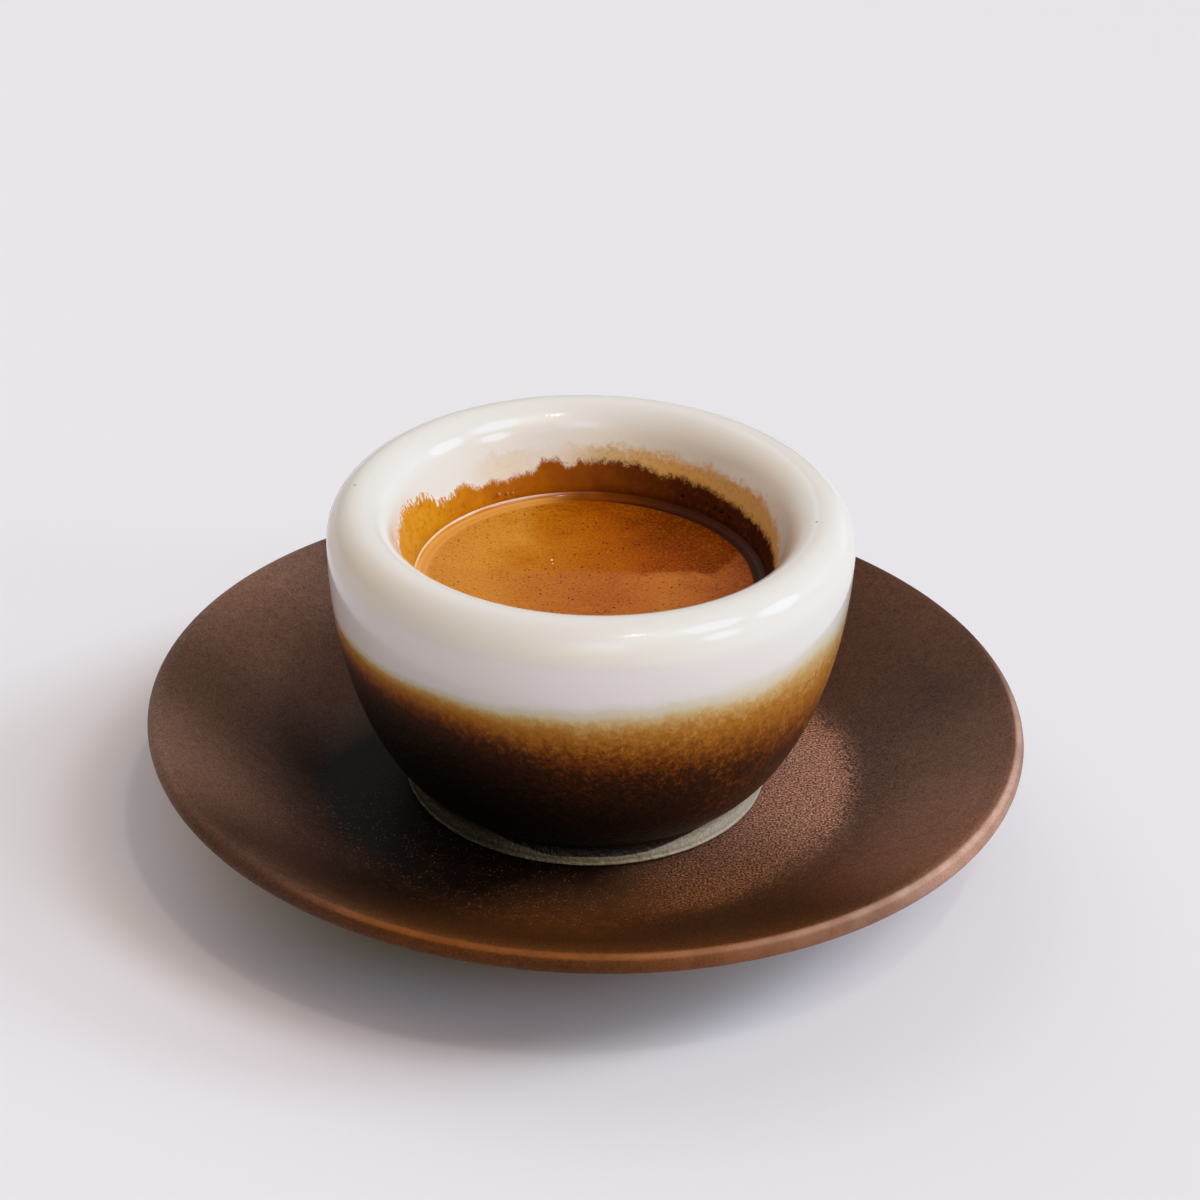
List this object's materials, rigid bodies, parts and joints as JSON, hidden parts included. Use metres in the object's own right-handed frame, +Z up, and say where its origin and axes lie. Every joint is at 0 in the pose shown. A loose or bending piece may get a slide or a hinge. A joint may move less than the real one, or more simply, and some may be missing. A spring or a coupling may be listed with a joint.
{
  "type": "espresso shot in cup and saucer",
  "caption": "Espresso shot with crema in a handleless thick-rimmed stoneware cup, white above and brown below, standing on a round brown saucer.",
  "frame": {"origin": "centre of the saucer's foot ring, on the surface that the saucer stands on", "axes": "+Z up along the common axis of saucer, cup and shot; the picture looks along +Y from above, with +X to its right"},
  "size_m": [0.12, 0.12, 0.051],
  "materials": {
    "saucer_brown_glaze": "satin dark brown glaze with fine speckle",
    "cup_white_glaze": "glossy cream white glaze over satin brown glaze",
    "espresso_crema": "wet glossy amber crema"
  },
  "bodies": {
    "root": {"saucer": "saucer_brown_glaze", "cup": "cup_white_glaze", "espresso": "espresso_crema"}
  },
  "joints": []
}
